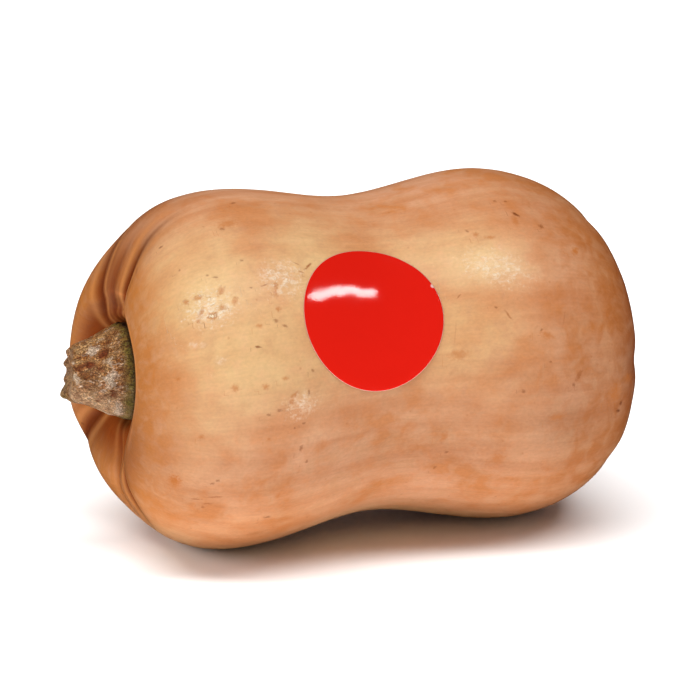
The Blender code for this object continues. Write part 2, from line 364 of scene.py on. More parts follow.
def furrow_depth(past, angle):
    """Depth of the furrows: each a sharp exp(-off) crease in a broad exp(-off^2) trough, faded at the
    ends."""
    floor_edge = past_crest(PIT_FLOOR_KNOT)
    in_pit = smooth((past - floor_edge) / FURROW_SETTLES)
    sunk = np.zeros_like(past)
    for in_pit_angle, crest_angle, far_angle, depth, half_width, reach in FURROWS:
        centre = np.interp(past, (floor_edge, 0.0, reach), (in_pit_angle, crest_angle, far_angle))
        off = np.abs(turn_between(angle, centre)) / half_width
        crease = np.exp(-np.hypot(off, CREASE_ROUNDING))
        trough = np.exp(-((off / TROUGH_WIDTH) ** 2))
        shape = CREASE_SHARE * crease + (1.0 - CREASE_SHARE) * trough
        sunk += depth * shape * smooth(1.0 - past / reach) * in_pit
    return sunk


def furrow_lines(past, angle, off_centre, half_width):
    """Lines along the furrows, 0 to 1: exp(-((off - off_centre) / half_width)^2), with off in the furrows'
    half widths, fainter where a furrow is shallower."""
    floor_edge = past_crest(PIT_FLOOR_KNOT)
    deepest = max(depth for _, _, _, depth, _, _ in FURROWS)
    lines = np.zeros_like(past)
    for in_pit_angle, crest_angle, far_angle, depth, furrow_half_width, reach in FURROWS:
        centre = np.interp(past, (floor_edge, 0.0, reach), (in_pit_angle, crest_angle, far_angle))
        off = np.abs(turn_between(angle, centre)) / furrow_half_width
        line = np.exp(-(((off - off_centre) / half_width) ** 2))
        fade = smooth(LINE_FADE - LINE_FADE * past / reach)
        lines = np.maximum(lines, line * depth / deepest * fade)
    return lines


def shoulder_relief(past, angle):
    """Height over the turned form: the swells, each exp(-off^2) and faded at both ends, less the furrows."""
    in_pit = smooth((past - past_crest(PIT_FLOOR_KNOT)) / FURROW_SETTLES)
    relief = -furrow_depth(past, angle)
    for centre, half_width, height, reach in SWELLS:
        off = turn_between(angle, centre) / half_width
        relief += height * np.exp(-(off**2)) * smooth(1.0 - past / reach) * in_pit
    return relief


def centre_height(axial, past):
    """Height of a section's middle: a parabola over the length, and the rise of the stem pit."""
    arch = ARCH * (1.0 - (axial / HALF_LENGTH) ** 2)
    return arch + PIT_RISE * smooth((PIT_RISE_FROM - past) / PIT_RISE_LENGTH)


def fruit_surface(knots, angle, lift=0.0):
    """The profile turned round the axis: axial and radial places from the spline, moved by the relief, whose
    direction turns from axial to radial past the crest, and by lift along the profile's normal."""
    step = 0.01
    last = len(FRUIT_PROFILE) - 1.0
    along = spline(FRUIT_PROFILE, knots)
    ahead = spline(FRUIT_PROFILE, np.minimum(knots + step, last))
    behind = spline(FRUIT_PROFILE, np.maximum(knots - step, 0.0))
    tangent = ahead - behind
    tangent /= np.linalg.norm(tangent, axis=-1, keepdims=True)
    past = past_crest(knots)
    relief = shoulder_relief(past, angle)
    lean = smooth(past / RELIEF_TURNS) * np.pi / 2.0
    axial = along[..., 0] - relief * np.cos(lean) - lift * tangent[..., 1]
    radius = along[..., 1] + relief * np.sin(lean) + lift * tangent[..., 0]
    turn = np.radians(angle)
    height = radius * SECTION_HEIGHT * np.sin(turn) + centre_height(along[..., 0], past)
    return np.stack([axial, -radius * np.cos(turn), height], axis=-1)


def on_the_floor(points):
    """Sets points on the floor: a shift from the fruit's middle, with nothing lower than z = 0."""
    stood = points + np.array([CENTRE_X, 0.0, UNDERSIDE - SETTLE])
    stood[..., 2] = np.maximum(stood[..., 2], 0.0)
    return stood


def waves(points, length, count, seed):
    """Smooth noise of about -1 to 1: a sum of cosines of (k . p + phase), with k of random direction."""
    dice = np.random.default_rng(seed)
    heading = dice.normal(size=(count, 3))
    heading /= np.linalg.norm(heading, axis=1, keepdims=True)
    heading *= 2.0 * np.pi / (length * dice.uniform(0.7, 1.5, (count, 1)))
    phase = dice.uniform(0.0, 2.0 * np.pi, count)
    total = np.zeros(points.shape[:-1])
    for k, start in zip(heading, phase):
        total += np.cos(points @ k + start)
    return total * np.sqrt(0.5 / count)


def grain_space(past, angle):
    """A place on the skin as (length past the crest, R cos, R sin) in mm, so grain follows the meridians."""
    turn = np.radians(angle)
    return np.stack([past * 1000.0, GRAIN_RADIUS * np.cos(turn), GRAIN_RADIUS * np.sin(turn)], axis=-1)


def unevenness(past, angle):
    """How far the rind stands over the plain form: long shallow waves and small dimples, faded in the pit,
    and the blossom end's fullness less its grooves, each exp(-off^2)."""
    place = grain_space(past, angle)
    long_waves = waves(place * np.array([0.35, 1.0, 1.0]), length=24.0, count=24, seed=3)
    dimples = waves(place, length=7.0, count=32, seed=5)
    height, start, length = END_SWELL
    swell = height * smooth((past - start) / length)
    for centre, half_width, share in LESS_SWELL:
        off = turn_between(angle, centre) / half_width
        swell *= 1.0 - share * np.exp(-(off**2))
    set_in, set_in_length = END_GROOVE_START
    run_out, run_out_length = END_GROOVE_END
    for groove in END_GROOVES:
        off = turn_between(angle, groove) / END_GROOVE_HALF_WIDTH
        sunk = END_GROOVE_DEPTH * np.exp(-(off**2)) * smooth((past - set_in) / set_in_length)
        swell -= sunk * smooth((run_out - past) / run_out_length)
    out_of_pit = smooth((past * 1000.0 + 4.0) / 14.0)
    return swell + (WAVE_HEIGHT * long_waves + DIMPLE_HEIGHT * dimples) * out_of_pit


def closed_mesh(name, points, attributes):
    """A closed mesh from a (rings, segments, 3) grid whose first and last rings are each one point."""
    rings, segments = points.shape[:2]
    keep = np.concatenate([[0], np.arange(segments, (rings - 1) * segments), [(rings - 1) * segments]])
    vertices = points.reshape(-1, 3)[keep]
    last = len(vertices) - 1
    ring = np.arange(segments)
    after = (ring + 1) % segments
    start = 1 + np.arange(rings - 3)[:, None] * segments
    quads = np.stack([start + ring, start + segments + ring, start + segments + after, start + after], -1)
    first_cap = np.stack([np.zeros_like(ring), 1 + ring, 1 + after], -1)
    base = last - segments
    last_cap = np.stack([base + ring, np.full_like(ring, last), base + after], -1)
    corners = np.concatenate([first_cap.ravel(), quads.ravel(), last_cap.ravel()])
    sizes = np.concatenate([np.full(segments, 3), np.full(quads.size // 4, 4), np.full(segments, 3)])
    mesh = bpy.data.meshes.new(name)
    mesh.vertices.add(len(vertices))
    mesh.vertices.foreach_set("co", vertices.astype(np.float32).ravel())
    mesh.loops.add(len(corners))
    mesh.loops.foreach_set("vertex_index", corners.astype(np.int32))
    mesh.polygons.add(len(sizes))
    mesh.polygons.foreach_set("loop_start", (np.cumsum(sizes) - sizes).astype(np.int32))
    mesh.polygons.foreach_set("use_smooth", np.ones(len(sizes), bool))
    mesh.update(calc_edges=True)
    mesh.validate()
    for label, values in attributes.items():
        flat = values.reshape(rings * segments, -1)[keep].astype(np.float32)
        kind, field = ("FLOAT_VECTOR", "vector") if flat.shape[1] == 3 else ("FLOAT", "value")
        mesh.attributes.new(label, kind, "POINT").data.foreach_set(field, flat.ravel())
    return mesh


def linear(colour):
    """An sRGB hex colour as linear red, green, blue and alpha, by the sRGB curve."""
    value = np.array([int(colour[i : i + 2], 16) for i in (1, 3, 5)]) / 255.0
    straight = np.where(value <= 0.04045, value / 12.92, ((value + 0.055) / 1.055) ** 2.4)
    return (*straight, 1.0)


def node(tree, kind, output=0, ins=None, **settings):
    """Adds a node with its settings, links or sets its inputs, and returns the named or numbered output."""
    made = tree.nodes.new("ShaderNode" + kind)
    for setting, value in settings.items():
        setattr(made, setting, value)
    for socket, value in (ins or {}).items():
        if isinstance(value, bpy.types.NodeSocket):
            tree.links.new(value, made.inputs[socket])
        else:
            made.inputs[socket].default_value = value
    return made.outputs[output]


# The grid is finer where the skin bends sharply: rings are spaced by length plus a share for each knot.
ring_measure = FINE_LENGTH - FINE_LENGTH[0] + KNOT_SHARE * FINE_KNOTS
ring_knots = np.interp(np.linspace(0.0, ring_measure[-1], FRUIT_RINGS), ring_measure, FINE_KNOTS)
ring_angle = np.arange(FRUIT_SEGMENTS) * 360.0 / FRUIT_SEGMENTS
ring_knots, ring_angle = np.meshgrid(ring_knots, ring_angle, indexing="ij")
ring_past = past_crest(ring_knots)


def wash(past, angle, washes):
    """A broad stain: the largest of strength exp(-(u^2 + v^2)), with u and v in each wash's half sizes."""
    stain = np.zeros_like(past)
    for past_mm, centre, half_length, half_width, strength in washes:
        u = (past * 1000.0 - past_mm) / half_length
        v = turn_between(angle, centre) / half_width
        stain = np.maximum(stain, strength * np.exp(-(u**2) - v**2))
    return stain


def mark_layers(label, past, angle, marks):
    """Each vertex's place in its nearest mark: (u, v) on the skin in mm, turned to the mark's length and
    divided by its half sizes, with the mark's strength. Marks too close to part go to the next layer."""
    layers = []
    for past_mm, centre, half_length, half_width, turn, strength in marks:
        radius = 1000.0 * np.interp(past_mm / 1000.0, FINE_LENGTH, spline(FRUIT_PROFILE, FINE_KNOTS)[:, 1])
        reach = MARK_REACH * max(half_length, half_width) + MARK_MARGIN
        u = past * 1000.0 - past_mm
        v = np.radians(turn_between(angle, centre)) * radius
        near = np.hypot(u, v) < reach
        around = np.hypot(u, v) < reach + MARK_MARGIN
        layer = next((one for one in layers if (one[around][:, 0] == OFF_MARK).all()), None)
        if layer is None:
            layer = np.zeros((*past.shape, 3)) + np.array([OFF_MARK, OFF_MARK, 0.0])
            layers.append(layer)
        heading = np.radians(turn)
        along = (u * np.cos(heading) + v * np.sin(heading)) / half_length
        across = (v * np.cos(heading) - u * np.sin(heading)) / half_width
        layer[near] = np.stack([along, across, np.full_like(u, strength)], axis=-1)[near]
    return {f"{label}_{i}": layer for i, layer in enumerate(layers)}


mark_attributes = {}
for label, marks in (
    ("fleck", FLECKS),
    ("scar", SCARS),
    ("spot", SPOTS),
    ("wart", WARTS),
    ("scuff", SCUFFS),
):
    mark_attributes |= mark_layers(label, ring_past, ring_angle, marks)
fruit_mesh = closed_mesh(
    "rind",
    on_the_floor(fruit_surface(ring_knots, ring_angle, unevenness(ring_past, ring_angle))),
    {
        "grain": grain_space(ring_past, ring_angle),
        "furrow": furrow_depth(ring_past, ring_angle) / FURROW_READS_ONE,
        "bank": furrow_lines(ring_past, ring_angle, off_centre=1.25, half_width=0.45),
        "crease": furrow_lines(ring_past, ring_angle, off_centre=0.0, half_width=0.32),
        "past": ring_past * 1000.0,
        "cream_and_painted_light": wash(ring_past, ring_angle, CREAM_AND_PAINTED_LIGHT_WASHES),
        "blush": wash(ring_past, ring_angle, BLUSH_WASHES),
        "stain_shade_and_light": wash(ring_past, ring_angle, STAIN_AND_SHADE_WASHES) - wash(ring_past, ring_angle, PAINTED_LIGHT_WASHES),
        "brown": wash(ring_past, ring_angle, BROWN_WASHES),
        **mark_attributes,
    },
)
fruit = placed("rind", fruit_mesh)

# Waxy rind: a hard satin skin, pale tan where the wax is thick and orange where the colour shows through. Its
# colour also holds painted light and painted shade. To the eye it is smooth and softly shining, with faint
# streaks from stem to blossom end and small marks.
waxy_rind = bpy.data.materials.new("waxy_rind")
waxy_rind.use_nodes = True
tree = waxy_rind.node_tree
shader = tree.nodes["Principled BSDF"]
shader.inputs["IOR"].default_value = 1.4
grain = node(tree, "Attribute", "Vector", attribute_name="grain")
skin_map = {}
for name in ("past", "furrow", "bank", "crease", "cream_and_painted_light", "blush", "stain_shade_and_light", "brown"):
    skin_map[name] = node(tree, "Attribute", "Fac", attribute_name=name)


def noise_patterns(tree, place, rows):
    """Noise on a place in mm, one pattern for each row: its name, its scale in waves per mm along each axis,
    detail and distortion, then the range of the noise that is used and the range that it is brought to."""
    patterns = {}
    for name, scale, detail, distortion, (low, high), (least, most) in rows:
        space = node(tree, "Mapping", ins={"Vector": place, "Scale": scale})
        ins = {"Vector": space, "Scale": 1.0, "Detail": detail, "Distortion": distortion}
        noise = node(tree, "TexNoise", ins=ins)
        patterns[name] = node(tree, "MapRange", ins={0: noise, 1: low, 2: high, 3: least, 4: most})
    return patterns


# Clouds of orange are 8 to 20 mm across and bands 80 mm long. The mottling is finer, fibres run along the
# skin, the tooth is its orange-peel, and lumps and scratches fill the scuffs.
noise = noise_patterns(
    tree,
    grain,
    (
        ("clouds", (0.06, 0.085, 0.085), 7.0, 0.3, (0.38, 0.68), (0.0, 1.0)),
        ("bands", (0.012, 0.17, 0.17), 5.0, 0.0, (0.44, 0.64), (0.0, 1.0)),
        ("mottling", (0.21, 0.20, 0.20), 6.0, 0.6, (0.33, 0.67), (-0.5, 0.5)),
        ("fibres", (0.10, 1.1, 1.1), 3.0, 0.0, (0.3, 0.7), (-0.5, 0.5)),
        ("tooth", (0.9, 1.4, 1.4), 3.0, 0.0, (0.3, 0.7), (-0.5, 0.5)),
        ("lumps", (0.45, 0.6, 0.6), 3.0, 0.6, (0.45, 0.62), (0.0, 1.0)),
        ("scratches", (0.7, 1.6, 1.6), 3.0, 0.8, (0.50, 0.64), (0.0, 1.0)),
    ),
)
# The ground is pinkish tan, creamy in the cream washes, which are partly painted light, and orange in the
# clouds, and the mottling frays the edges.
ragged = node(tree, "Math", ins={0: noise["mottling"], 1: 0.85}, operation="MULTIPLY")
frayed = node(tree, "Math", ins={0: ragged, 1: 0.45}, operation="MULTIPLY")
cream_and_light_share = node(tree, "Math", ins={0: skin_map["cream_and_painted_light"], 1: frayed}, operation="ADD")
clouded = node(tree, "Math", ins={0: noise["clouds"], 1: 0.25}, operation="MULTIPLY")
cream_and_light_share = node(tree, "Math", ins={0: cream_and_light_share, 1: clouded}, operation="SUBTRACT", use_clamp=True)
blush_share = node(tree, "Math", ins={0: skin_map["blush"], 1: ragged}, operation="ADD", use_clamp=True)
blush_share = node(tree, "Math", ins={0: blush_share, 1: 0.6}, operation="MULTIPLY")
outside_cream_and_light = node(tree, "Math", ins={0: 1.05, 1: skin_map["cream_and_painted_light"]}, operation="SUBTRACT", use_clamp=True)
orange_share = node(tree, "Math", ins={0: noise["clouds"], 1: ragged}, operation="ADD", use_clamp=True)
orange_share = node(tree, "Math", ins={0: orange_share, 1: 0.8}, operation="MULTIPLY")
orange_share = node(tree, "Math", ins={0: orange_share, 1: outside_cream_and_light}, operation="MULTIPLY")
band_share = node(tree, "Math", ins={0: outside_cream_and_light, 1: 0.36}, operation="MULTIPLY")
band_share = node(tree, "Math", ins={0: noise["bands"], 1: band_share}, operation="MULTIPLY")
# Orange brown shows at the shoulder. In the pit and its furrows the colour darkens with depth, as the pit's
# own orange brown and as painted shade, and the crease lines are dark painted shade. Towards the blossom end
# it darkens too, partly painted shade where the end turns from the light.
past = skin_map["past"]
near_crest = node(tree, "MapRange", ins={0: past, 1: 38.0, 2: 0.0}, interpolation_type="SMOOTHSTEP")
crest_edge = node(tree, "Math", ins={0: ragged, 1: near_crest}, operation="MULTIPLY")
near_crest = node(tree, "Math", ins={0: near_crest, 1: crest_edge}, operation="ADD", use_clamp=True)
near_crest = node(tree, "Math", ins={0: near_crest, 1: 0.9}, operation="MULTIPLY")
in_pit = node(tree, "MapRange", ins={0: past, 1: 3.0, 2: -8.0}, interpolation_type="SMOOTHSTEP")
near_end = node(tree, "MapRange", ins={0: past, 1: 140.0, 2: 190.0, 4: 0.78})
end_edge = node(tree, "Math", ins={0: ragged, 1: near_end}, operation="MULTIPLY")
near_end = node(tree, "Math", ins={0: near_end, 1: end_edge}, operation="ADD", use_clamp=True)
sunk = node(tree, "MapRange", ins={0: skin_map["furrow"], 1: 0.10, 2: 0.85})
brown_share = node(tree, "Math", ins={0: skin_map["brown"], 1: 0.9}, operation="MULTIPLY")
bank_share = node(tree, "Math", ins={0: skin_map["bank"], 1: 0.6}, operation="MULTIPLY")
crease_shade_share = node(tree, "Math", ins={0: skin_map["crease"], 1: 0.55}, operation="MULTIPLY")
skin = linear("#d2976c")
for share, colour in (
    (cream_and_light_share, "#dfba84"),
    (blush_share, "#d29b7e"),
    (orange_share, "#c0763c"),
    (band_share, "#b66c3c"),
    (near_crest, "#b9702f"),
    (in_pit, "#8c4216"),
    (near_end, "#9c5522"),
    (sunk, "#7a3712"),
    (brown_share, "#7e3b1c"),
    (bank_share, "#d48c4e"),
    (crease_shade_share, "#54230c"),
):
    skin = node(tree, "Mix", 2, {0: share, 6: skin, 7: linear(colour)}, data_type="RGBA")
# Fibres, tooth and mottling make it a little lighter and darker. Stains and painted shade darken it, and
# painted light brightens it.
shade = node(tree, "Math", ins={0: noise["fibres"], 1: 0.06, 2: 1.0}, operation="MULTIPLY_ADD")
for source, most, operation in (
    (noise["tooth"], 0.10, "ADD"),
    (noise["mottling"], 0.10, "ADD"),
    (skin_map["stain_shade_and_light"], 0.17, "SUBTRACT"),
):
    part = node(tree, "Math", ins={0: source, 1: most}, operation="MULTIPLY")
    shade = node(tree, "Math", ins={0: shade, 1: part}, operation=operation)
skin = node(tree, "VectorMath", ins={0: skin, "Scale": shade}, operation="SCALE")
# The blossom's scar: a corky disc with a darker dot, at the very end.
end_past = FINE_LENGTH[-1] * 1000.0
scar_edge = 0.8
wavering = node(tree, "Math", ins={0: noise["mottling"], 1: 1.6}, operation="MULTIPLY")
wavering = node(tree, "Math", ins={0: past, 1: wavering}, operation="ADD")
for scar_radius, share, colour in ((5.2, 0.75, "#a58560"), (1.9, 0.8, "#5a3d22")):
    start = end_past - scar_radius
    cork = node(tree, "MapRange", ins={0: wavering, 1: start, 2: start + scar_edge, 4: share})
    skin = node(tree, "Mix", 2, {0: cork, 6: skin, 7: linear(colour)}, data_type="RGBA")

# The marks: a ragged edge comes from a wobble added to each mark's own coordinates.
wobble = node(tree, "TexNoise", "Color", {"Vector": grain, "Scale": 1.3, "Detail": 3.0})
wobble = node(tree, "VectorMath", ins={0: wobble, 1: (0.5, 0.5, 0.5)}, operation="SUBTRACT")
wobble = node(tree, "VectorMath", ins={0: wobble, 1: (2.2, 2.2, 0.0)}, operation="MULTIPLY")
amount = {}
for kind, outside, inside in (
    ("fleck", 1.7, 0.2),
    ("scar", 1.6, 0.2),
    ("spot", 1.8, 0.0),
    ("wart", 1.6, 0.2),
    ("scuff", 1.3, 0.0),
):
    most = 0.0
    for label in (one for one in mark_attributes if one.startswith(kind)):
        place = node(tree, "Attribute", "Vector", attribute_name=label)
        strength = node(tree, "SeparateXYZ", 2, {0: place})
        place = node(tree, "VectorMath", ins={0: place, 1: (1.0, 1.0, 0.0)}, operation="MULTIPLY")
        place = node(tree, "VectorMath", ins={0: place, 1: wobble}, operation="ADD")
        radius = node(tree, "VectorMath", "Value", {0: place}, operation="LENGTH")
        ins = {0: radius, 1: outside, 2: inside}
        inner = node(tree, "MapRange", ins=ins, interpolation_type="SMOOTHSTEP")
        inner = node(tree, "Math", ins={0: inner, 1: strength}, operation="MULTIPLY")
        most = node(tree, "Math", ins={0: inner, 1: most}, operation="MAXIMUM")
    amount[kind] = most
freckles = node(tree, "TexVoronoi", "Distance", {"Vector": grain, "Scale": 0.16})
freckles = node(tree, "MapRange", ins={0: freckles, 1: 0.09, 2: 0.02, 4: 0.35})
# The scuffs' pale lumps and scratches are wear, and their near-white glaze is also painted glints.
wear_and_glint = node(tree, "Math", ins={0: noise["lumps"], 1: 0.55}, operation="MULTIPLY")
scratched = node(tree, "Math", ins={0: noise["scratches"], 1: 0.38}, operation="MULTIPLY")
wear_and_glint = node(tree, "Math", ins={0: wear_and_glint, 1: scratched}, operation="ADD")
wear_and_glint = node(tree, "Math", ins={0: wear_and_glint, 1: 0.10}, operation="ADD")
wear_and_glint = node(tree, "Math", ins={0: wear_and_glint, 1: amount["scuff"]}, operation="MULTIPLY")
bead = node(tree, "MapRange", ins={0: amount["wart"], 1: 0.72, 2: 0.9})
for share, colour in (
    (freckles, "#a8602c"),
    (amount["spot"], "#b8692a"),
    (wear_and_glint, "#f8ead2"),
    (amount["wart"], "#b4682b"),
    (bead, "#f0dab8"),
    (amount["scar"], "#9a5528"),
    (amount["fleck"], "#7c3e17"),
):
    skin = node(tree, "Mix", 2, {0: share, 6: skin, 7: linear(colour)}, data_type="RGBA")
tree.links.new(skin, shader.inputs["Base Color"])

# The relief in mm: a faint orange-peel, low fibres, and raised warts and scratches.
scuff_lumps = node(tree, "Math", ins={0: noise["lumps"], 1: amount["scuff"]}, operation="MULTIPLY")
scuff_lines = node(tree, "Math", ins={0: noise["scratches"], 1: amount["scuff"]}, operation="MULTIPLY")
height = node(tree, "Math", ins={0: noise["tooth"], 1: 0.015}, operation="MULTIPLY")
for source, most in (
    (noise["fibres"], 0.012),
    (noise["mottling"], 0.04),
    (amount["wart"], 0.16),
    (bead, 0.12),
    (scuff_lumps, 0.16),
    (scuff_lines, 0.09),
):
    part = node(tree, "Math", ins={0: source, 1: most}, operation="MULTIPLY")
    height = node(tree, "Math", ins={0: height, 1: part}, operation="ADD")
relief = node(tree, "Bump", ins={"Height": height, "Distance": 0.001, "Strength": 1.0})
tree.links.new(relief, shader.inputs["Normal"])
gloss = node(tree, "MapRange", ins={0: amount["scuff"], 3: 0.38, 4: 0.14})
tree.links.new(gloss, shader.inputs["Roughness"])
dull = node(tree, "Math", ins={0: in_pit, 1: sunk}, operation="MAXIMUM")
dull_end = node(tree, "Math", ins={0: near_end, 1: 0.8}, operation="MULTIPLY")
dull = node(tree, "Math", ins={0: dull, 1: dull_end}, operation="MAXIMUM")
specular = node(tree, "MapRange", ins={0: dull, 3: 0.45, 4: 0.03})
tree.links.new(specular, shader.inputs["Specular IOR Level"])
fruit_mesh.materials.append(waxy_rind)
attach(fruit, "root")
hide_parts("fruit")

# Stem: the stub of the vine left on the fruit, hard and corky when dry. It has uneven ribs that flare into
# the pit, and a sloping cut with a torn lip of still green fibre below.
STEM_PROFILE = (
    (-0.0966, 0.0),  # cut end, a little hollow
    (-0.0967, 0.0035),
    (-0.0970, 0.0066),  # edge of the cut
    (-0.0962, 0.0079),
    (-0.0918, 0.0096),
    (-0.0858, 0.0124),
    (-0.0808, 0.0143),
    (-0.0783, 0.0148),  # flared foot
    (-0.0768, 0.0132),
    (-0.0766, 0.0090),
    (-0.0766, 0.0),
)
CUT_EDGE_KNOT = 2
STEM_RIBS = (
    (14.0, 0.0011),  # angle at the foot in degrees, and height
    (66.0, 0.0014),
    (122.0, 0.0010),
    (182.0, 0.0013),
    (248.0, 0.0010),
    (314.0, 0.0015),
)
STEM_RIB_HALF_WIDTH = 17.0
STEM_TWIST = 10.0
STEM_LEAN = 0.0016
CUT_SLOPE = 0.12
CUT_TURN = 0.16
TORN_LIPS = (
    (258.0, 22.0, 0.0022),  # angle and half width in degrees, and length
    (212.0, 14.0, 0.0010),
    (168.0, 13.0, 0.0015),
    (128.0, 11.0, 0.0013),
    (36.0, 11.0, 0.0009),
)
# The paler side is paler bark and also painted bounce light from the table on the stem's lower side.
PALE_AND_LIT_SIDE = (322.0, 24.0)  # angle and half width in degrees of the side with paler bark
FRESH_LIP = (258.0, 26.0)  # angle and half width in degrees of the torn lip that is still green
FRESH_LIP_KNOT = 3.2  # profile knot where its green ends
LUMP_HEIGHT = 0.00030
WRINKLE_HEIGHT = 0.00013
PIT_DEPTH = 0.00005
# Lumps and hollows of the bark: profile knot, angle, half length in knots, half width in degrees, height.
STEM_LUMPS = (
    (2.75, 36.0, 0.50, 9.0, 0.00060),
    (4.0, 52.0, 0.50, 10.0, 0.00070),
    (4.9, 4.0, 0.28, 12.0, 0.00080),
    (4.8, 26.0, 0.25, 7.0, 0.00050),
    (5.4, 322.0, 0.30, 12.0, 0.00100),
    (3.3, 20.0, 0.40, 8.0, -0.00050),
    (3.9, 28.0, 0.35, 8.0, -0.00070),
    (4.6, 40.0, 0.30, 7.0, -0.00060),
    (5.1, 340.0, 0.25, 8.0, -0.00070),
)
STEM_SEGMENTS = 300
STEM_RINGS = 260


def stem_surface(knots, angle, rough=0.0):
    """The stem's profile turned round the axis, with ribs exp(-off^2) and the bark's roughness added to its
    radius, a sloped cut and a torn lip."""
    along = spline(STEM_PROFILE, knots)
    foot = STEM_PROFILE[-1][0]
    progress = (foot - along[..., 0]) / (foot - STEM_PROFILE[0][0])
    last = len(STEM_PROFILE) - 1.0
    radius = along[..., 1].copy()
    ribbed = smooth(knots / CUT_EDGE_KNOT) * smooth((last - knots) / CUT_EDGE_KNOT)
    for rib_angle, height in STEM_RIBS:
        off = turn_between(angle, rib_angle + STEM_TWIST * progress) / STEM_RIB_HALF_WIDTH
        radius += height * np.exp(-(off**2)) * ribbed
    radius += rough
    lip = np.zeros_like(radius)
    for lip_angle, lip_half_width, lip_length in TORN_LIPS:
        lip += lip_length * np.exp(-((turn_between(angle, lip_angle) / lip_half_width) ** 2))
    lip *= smooth(1.0 - np.abs(knots - CUT_EDGE_KNOT) / CUT_EDGE_KNOT)
    turn = np.radians(angle)
    side = -radius * np.cos(turn)
    up = radius * np.sin(turn)
    axial = along[..., 0] + (CUT_SLOPE * up + CUT_TURN * side) * smooth(progress) - lip
    centre = centre_height(foot, past_crest(0.0)) + STEM_LEAN * progress
    return np.stack([axial, side, up + centre], axis=-1)


def bark_roughness(points):
    """Corky lumps of 4 mm, wrinkles of 1.5 mm drawn out along the stem, pits of 0.9 mm: sums of waves."""
    place = points * 1000.0
    lumps = waves(place * np.array([0.55, 1.0, 1.0]), length=4.2, count=40, seed=11)
    wrinkles = waves(place * np.array([0.35, 1.0, 1.0]), length=1.5, count=48, seed=12)
    pits = waves(place, length=0.9, count=48, seed=13)
    return LUMP_HEIGHT * lumps + WRINKLE_HEIGHT * (1.0 - 2.0 * np.abs(wrinkles)) + PIT_DEPTH * pits


stem_knots = np.linspace(0.0, len(STEM_PROFILE) - 1.0, STEM_RINGS)
stem_angle = np.arange(STEM_SEGMENTS) * 360.0 / STEM_SEGMENTS
stem_knots, stem_angle = np.meshgrid(stem_knots, stem_angle, indexing="ij")
plain_stem = stem_surface(stem_knots, stem_angle)
off_the_poles = smooth(stem_knots / CUT_EDGE_KNOT) * smooth(len(STEM_PROFILE) - 1.0 - stem_knots)
rough_stem = bark_roughness(plain_stem) * off_the_poles
for knot, centre, half_knots, half_width, height in STEM_LUMPS:
    lump_off = ((stem_knots - knot) / half_knots) ** 2 + (turn_between(stem_angle, centre) / half_width) ** 2
    rough_stem += height * np.exp(-lump_off)
pale_off = turn_between(stem_angle, PALE_AND_LIT_SIDE[0]) / PALE_AND_LIT_SIDE[1]
fresh_off = turn_between(stem_angle, FRESH_LIP[0]) / FRESH_LIP[1]
stem_mesh = closed_mesh(
    "stem_stub",
    on_the_floor(stem_surface(stem_knots, stem_angle, rough_stem)),
    {
        "along": stem_knots,
        "stands": rough_stem * 1000.0,
        "low": np.exp(-(pale_off**2)),
        "torn": np.exp(-(fresh_off**2)) * smooth(FRESH_LIP_KNOT - stem_knots),
    },
)
stem = placed("stem_stub", stem_mesh)

# Corky bark: dry and rough but worn smooth on its crests, tan, with a fine dark squiggle. Its crests carry a
# painted highlight and its hollows a reddish painted shade. It is olive where it is still fresh, at the foot
# and at the torn lip, and pale at the cut.
corky_bark = bpy.data.materials.new("corky_bark")
corky_bark.use_nodes = True
tree = corky_bark.node_tree
shader = tree.nodes["Principled BSDF"]
place = node(tree, "TexCoord", "Object")
place = node(tree, "VectorMath", ins={0: place, "Scale": 1000.0}, operation="SCALE")
bark_map = {}
for name in ("along", "stands", "low", "torn"):
    bark_map[name] = node(tree, "Attribute", "Fac", attribute_name=name)
noise = noise_patterns(
    tree,
    place,
    (
        ("patches", (0.22, 0.4, 0.4), 3.0, 0.0, (0.35, 0.65), (0.0, 1.0)),
        ("squiggle", (0.9, 1.4, 1.4), 2.0, 2.2, (0.45, 0.55), (0.0, 1.0)),
        ("specks", (2.2, 2.6, 2.6), 2.0, 0.8, (0.42, 0.55), (0.0, 1.0)),
        ("broken", (0.45, 0.8, 0.8), 3.0, 1.2, (0.35, 0.65), (-0.35, 0.35)),
    ),
)
# Paler on the lower side: paler bark, and painted bounce light.
pale_and_lit_side = node(tree, "Math", ins={0: bark_map["low"], 1: 0.85}, operation="MULTIPLY")
crest = node(tree, "Math", ins={0: bark_map["stands"], 1: noise["broken"]}, operation="ADD")
crest = node(tree, "MapRange", ins={0: crest, 1: 0.22, 2: 0.62})
crest_highlight = node(tree, "Math", ins={0: crest, 1: 0.9}, operation="MULTIPLY")
hollow_shade = node(tree, "MapRange", ins={0: bark_map["stands"], 1: -0.02, 2: -0.42})
fresh = node(tree, "MapRange", ins={0: bark_map["along"], 1: 5.45, 2: 5.85})
patchy = node(tree, "Math", ins={0: noise["patches"], 1: 0.6, 2: 0.5}, operation="MULTIPLY_ADD")
fresh = node(tree, "Math", ins={0: fresh, 1: patchy}, operation="MULTIPLY")
fresh_lip = node(tree, "Math", ins={0: bark_map["torn"], 1: 0.8}, operation="MULTIPLY")
fresh = node(tree, "Math", ins={0: fresh, 1: fresh_lip}, operation="MAXIMUM")
cut = node(tree, "MapRange", ins={0: bark_map["along"], 1: 2.3, 2: 1.7, 4: 0.6})
bark = linear("#c07632")
for share, colour in (
    (noise["patches"], "#f0bc7c"),
    (pale_and_lit_side, "#f2c494"),
    (crest_highlight, "#ffe4c6"),
    (hollow_shade, "#94481f"),
    (fresh, "#a3923c"),
    (cut, "#e0a878"),
):
    bark = node(tree, "Mix", 2, {0: share, 6: bark, 7: linear(colour)}, data_type="RGBA")
